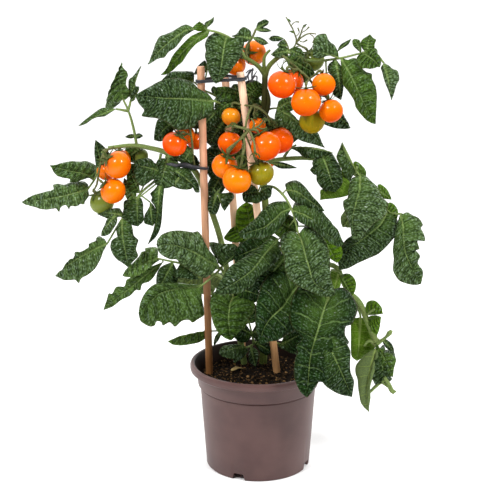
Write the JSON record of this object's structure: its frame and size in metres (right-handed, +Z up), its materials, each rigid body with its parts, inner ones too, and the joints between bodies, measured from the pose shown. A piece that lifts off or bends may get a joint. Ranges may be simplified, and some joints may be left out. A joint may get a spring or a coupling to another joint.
{
  "type": "tomato plant in a pot",
  "caption": "Cherry tomato plant with ripe and unripe fruit, toothed compound leaves and canes held by ties, growing in the soil of a round nursery pot.",
  "frame": {"origin": "on the pot's axis, on the ground under its foot", "axes": "+Z up along the pot's axis, -Y towards the side that the picture shows, +X to its right"},
  "size_m": [0.4292, 0.2759, 0.4921],
  "materials": {
    "pot": "satin mauve-taupe moulded plastic",
    "soil": "loose dark peat",
    "cane": "natural split bamboo",
    "tie": "dark flexible tie",
    "stem": "green hairy stem",
    "leaf": "puckered green leaf",
    "dry_leaf": "dry brown leaf",
    "ripe_fruit": "glossy orange fruit skin"
  },
  "bodies": {
    "root": {"pot": "pot", "soil": "soil", "cane_left": "cane", "cane_right": "cane", "cane_back": "cane", "tie_upper": "tie", "tie_lower": "tie", "leaf_fallen": "dry_leaf", "stem_main": "stem", "stem_left": "stem", "tomato_top_front": "ripe_fruit", "tomato_top_left": "ripe_fruit", "tomato_right_front": "ripe_fruit", "tomato_right_behind": "ripe_fruit", "tomato_right_high": "ripe_fruit", "tomato_right_centre": "ripe_fruit", "tomato_right_low": "ripe_fruit", "tomato_centre_high": "ripe_fruit", "tomato_centre_left": "ripe_fruit", "tomato_centre_lower": "ripe_fruit", "tomato_centre_lowest": "ripe_fruit", "tomato_centre_front": "ripe_fruit", "tomato_centre_right": "ripe_fruit", "tomato_centre_inner": "ripe_fruit", "tomato_side_front": "ripe_fruit", "tomato_side_middle": "ripe_fruit", "tomato_side_behind": "ripe_fruit", "tomato_left_high": "ripe_fruit", "tomato_left_low": "ripe_fruit", "tomato_left_behind": "ripe_fruit", "tomato_left_side": "ripe_fruit", "tomato_back_left": "ripe_fruit", "tomato_back_right": "ripe_fruit", "truss_top_left": "stem", "truss_top_right": "stem", "truss_flowers": "stem", "truss_centre": "stem", "truss_side": "stem", "truss_left": "stem", "truss_small": "stem", "truss_back": "stem", "shoot_right": "leaf", "shoot_hanging": "leaf", "leaf_top_left": "leaf", "leaf_left_high": "leaf", "leaf_broad_left": "leaf", "leaf_left_mid": "leaf", "leaf_left_low": "leaf", "leaf_left_inner": "leaf", "leaf_lower_left": "leaf", "leaf_low_front": "leaf", "leaf_front_right": "leaf", "leaf_front_centre": "leaf", "leaf_crown_back": "leaf", "leaf_centre_back": "leaf", "leaf_right_upper": "leaf", "leaf_back_high": "leaf", "leaf_back_middle": "leaf", "leaf_back_left": "leaf"}
  },
  "joints": []
}
